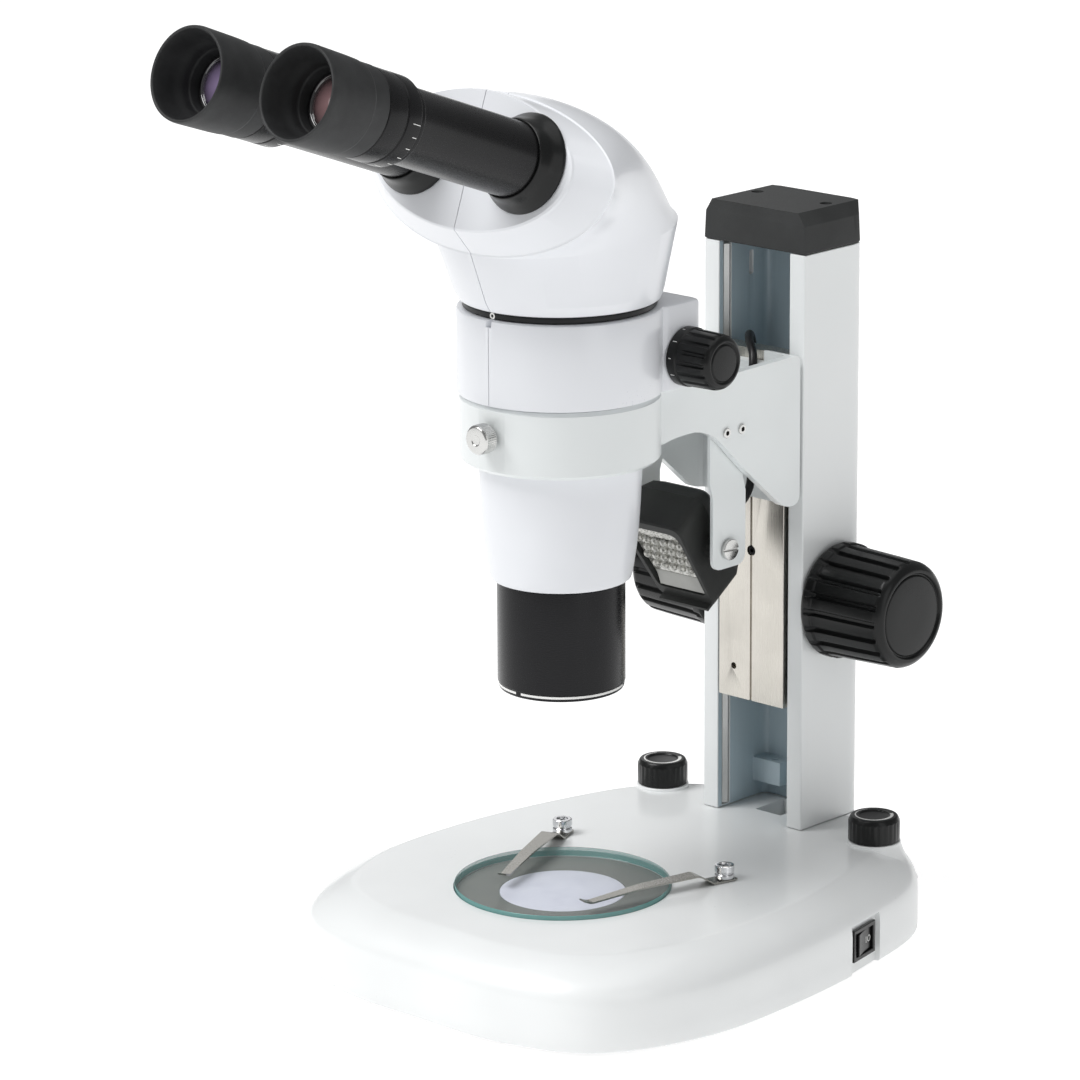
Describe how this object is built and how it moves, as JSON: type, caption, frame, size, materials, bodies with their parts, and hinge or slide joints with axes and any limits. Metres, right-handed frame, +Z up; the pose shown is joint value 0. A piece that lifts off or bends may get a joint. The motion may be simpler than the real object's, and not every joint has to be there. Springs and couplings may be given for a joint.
{
  "type": "stereo microscope",
  "caption": "Binocular stereo zoom microscope on a rack-and-pinion column stand with lit glass stage, clips and tilting oblique lamp.",
  "frame": {"origin": "on the table under the middle of the whole outline", "axes": "+Z up, +X to the user's right, +Y from the user towards the column"},
  "size_m": [0.2314, 0.3872, 0.4628],
  "materials": {
    "white_paint": "gloss",
    "arm_paint": "satin",
    "rubber": "matt",
    "steel": "satin",
    "brushed_steel": "brushed",
    "chrome": "polished",
    "brass": "machined",
    "stage_glass": "polished",
    "stage_seat": "matt",
    "opal": "frosted",
    "circuit_board": "satin",
    "cap_plastic": "fine grain",
    "lamp_lens": "clear",
    "lead_sheath": "satin",
    "coated_glass": "coated",
    "anodised_black": "satin anodised",
    "black_plastic": "satin"
  },
  "bodies": {
    "stand": {"base_casting": "white_paint", "bottom_plate": "steel", "foot_front_left": "rubber", "foot_front_right": "rubber", "foot_rear_left": "rubber", "foot_rear_right": "rubber", "stage_glass": "stage_glass", "stage_seat": "stage_seat", "diffuser": "opal", "led_board": "circuit_board", "column": "arm_paint", "column_cap": "cap_plastic", "guide_rail_left": "steel", "guide_rail_right": "steel", "power_inlet": "black_plastic", "switch_frame": "black_plastic"},
    "carriage": {"slide_plate": "brushed_steel", "focus_rack": "brass", "arm": "arm_paint", "lamp_bracket": "arm_paint", "lamp_lead": "lead_sheath"},
    "focus_drive": {"pinion_shaft": "steel", "focus_knob_left": "black_plastic", "focus_knob_right": "black_plastic"},
    "clamp_screw": {"clamp_screw": "brushed_steel"},
    "lamp": {"lamp_housing": "black_plastic", "lamp_lens": "lamp_lens", "lamp_pivot_left": "steel", "lamp_pivot_right": "steel"},
    "scope": {"optics_barrel": "white_paint", "objective": "anodised_black", "objective_lens": "coated_glass", "zoom_housing_left": "white_paint", "zoom_housing_right": "white_paint", "head_mount_ring": "anodised_black", "head_shell_left": "white_paint", "head_shell_right": "white_paint"},
    "zoom_drive": {"zoom_shaft": "steel", "zoom_knob_left": "black_plastic", "zoom_knob_right": "black_plastic"},
    "lens_lower": {"lens_carrier_lower": "anodised_black"},
    "lens_upper": {"lens_carrier_upper": "anodised_black"},
    "ocular_left": {"eyepiece_tube_left": "anodised_black", "tube_collar_left": "black_plastic"},
    "diopter_left": {"diopter_ring_left": "anodised_black"},
    "eyecup_left": {"eyecup_left": "rubber", "eye_lens_left": "coated_glass"},
    "dimmer_left": {"dimmer_knob_left": "black_plastic"},
    "clip_left": {"stage_clip_left": "steel"},
    "clip_screw_left": {"clip_screw_left": "chrome"},
    "ocular_right": {"eyepiece_tube_right": "anodised_black", "tube_collar_right": "black_plastic"},
    "diopter_right": {"diopter_ring_right": "anodised_black"},
    "eyecup_right": {"eyecup_right": "rubber", "eye_lens_right": "coated_glass"},
    "dimmer_right": {"dimmer_knob_right": "black_plastic"},
    "clip_right": {"stage_clip_right": "steel"},
    "clip_screw_right": {"clip_screw_right": "chrome"},
    "rocker": {"switch_rocker": "black_plastic"}
  },
  "joints": [
    {"name": "carriage_slide", "type": "slide", "parent": "stand", "child": "carriage", "axis": [0, 0, 1], "range_m": [-0.05, 0.04]},
    {"name": "focus_turn", "type": "hinge", "parent": "stand", "child": "focus_drive", "pos_m": [0, 0.16595, 0.1522], "axis": [1, 0, 0], "range_deg": [-385, 480]},
    {"name": "scope_turn", "type": "hinge", "parent": "carriage", "child": "scope", "pos_m": [0, 0.00845, 0.26], "axis": [0, 0, 1], "range_deg": [-90, 90]},
    {"name": "clamp_turn", "type": "hinge", "parent": "carriage", "child": "clamp_screw", "pos_m": [0, -0.04155, 0.2636], "axis": [0, -1, 0], "range_deg": [0, 360]},
    {"name": "lamp_tilt", "type": "hinge", "parent": "carriage", "child": "lamp", "pos_m": [0, 0.09265, 0.1905], "axis": [1, 0, 0], "range_deg": [-18, 18]},
    {"name": "zoom_turn", "type": "hinge", "parent": "scope", "child": "zoom_drive", "pos_m": [0, 0.04795, 0.292], "axis": [1, 0, 0], "range_deg": [-150, 150]},
    {"name": "lens_upper_slide", "type": "slide", "parent": "scope", "child": "lens_upper", "axis": [0, 0, 1], "range_m": [-0.0121, 0.0121]},
    {"name": "lens_lower_slide", "type": "slide", "parent": "scope", "child": "lens_lower", "axis": [0, 0, 1], "range_m": [-0.0097, 0.0097]},
    {"name": "ocular_swing_left", "type": "hinge", "parent": "scope", "child": "ocular_left", "pos_m": [-0.01603, -0.05129, 0.38341], "axis": [0, -0.9397, 0.342], "range_deg": [-24, 15]},
    {"name": "diopter_turn_left", "type": "hinge", "parent": "ocular_left", "child": "diopter_left", "pos_m": [-0.033, -0.04787, 0.3928], "axis": [0, -0.9397, 0.342], "range_deg": [0, 300]},
    {"name": "diopter_lift_left", "type": "slide", "parent": "ocular_left", "child": "eyecup_left", "axis": [0, -0.9397, 0.342], "range_m": [0, 0.004]},
    {"name": "dimmer_turn_left", "type": "hinge", "parent": "stand", "child": "dimmer_left", "pos_m": [-0.0668, 0.15275, 0.05], "axis": [0, 0, 1], "range_deg": [-135, 135]},
    {"name": "clip_swing_left", "type": "hinge", "parent": "stand", "child": "clip_left", "pos_m": [-0.051, 0.06345, 0.043], "axis": [0, 0, 1], "range_deg": [-35, 14]},
    {"name": "clip_screw_turn_left", "type": "hinge", "parent": "stand", "child": "clip_screw_left", "pos_m": [-0.051, 0.06345, 0.043], "axis": [0, 0, 1], "range_deg": [0, 360]},
    {"name": "ocular_swing_right", "type": "hinge", "parent": "scope", "child": "ocular_right", "pos_m": [0.01603, -0.05129, 0.38341], "axis": [0, -0.9397, 0.342], "range_deg": [-15, 24]},
    {"name": "diopter_turn_right", "type": "hinge", "parent": "ocular_right", "child": "diopter_right", "pos_m": [0.033, -0.04787, 0.3928], "axis": [0, -0.9397, 0.342], "range_deg": [0, 300]},
    {"name": "diopter_lift_right", "type": "slide", "parent": "ocular_right", "child": "eyecup_right", "axis": [0, -0.9397, 0.342], "range_m": [0, 0.004]},
    {"name": "dimmer_turn_right", "type": "hinge", "parent": "stand", "child": "dimmer_right", "pos_m": [0.0668, 0.15275, 0.05], "axis": [0, 0, 1], "range_deg": [-135, 135]},
    {"name": "clip_swing_right", "type": "hinge", "parent": "stand", "child": "clip_right", "pos_m": [0.051, 0.06345, 0.043], "axis": [0, 0, 1], "range_deg": [-20, 38]},
    {"name": "clip_screw_turn_right", "type": "hinge", "parent": "stand", "child": "clip_screw_right", "pos_m": [0.051, 0.06345, 0.043], "axis": [0, 0, 1], "range_deg": [0, 360]},
    {"name": "rocker_tilt", "type": "hinge", "parent": "stand", "child": "rocker", "pos_m": [0.10485, 0.09698, 0.0164], "axis": [0, 0, 1], "range_deg": [-16, 0]}
  ],
  "couplings": [
    {"joint": "focus_turn", "follows": "carriage_slide", "rad_per_m": -166.67},
    {"joint": "lens_upper_slide", "follows": "zoom_turn", "m_per_rad": 0.0045837},
    {"joint": "lens_lower_slide", "follows": "zoom_turn", "m_per_rad": -0.0036669},
    {"joint": "ocular_swing_left", "follows": "ocular_swing_right", "ratio": -1},
    {"joint": "diopter_lift_left", "follows": "diopter_turn_left", "m_per_rad": 0.00076394},
    {"joint": "diopter_lift_right", "follows": "diopter_turn_right", "m_per_rad": 0.00076394}
  ]
}
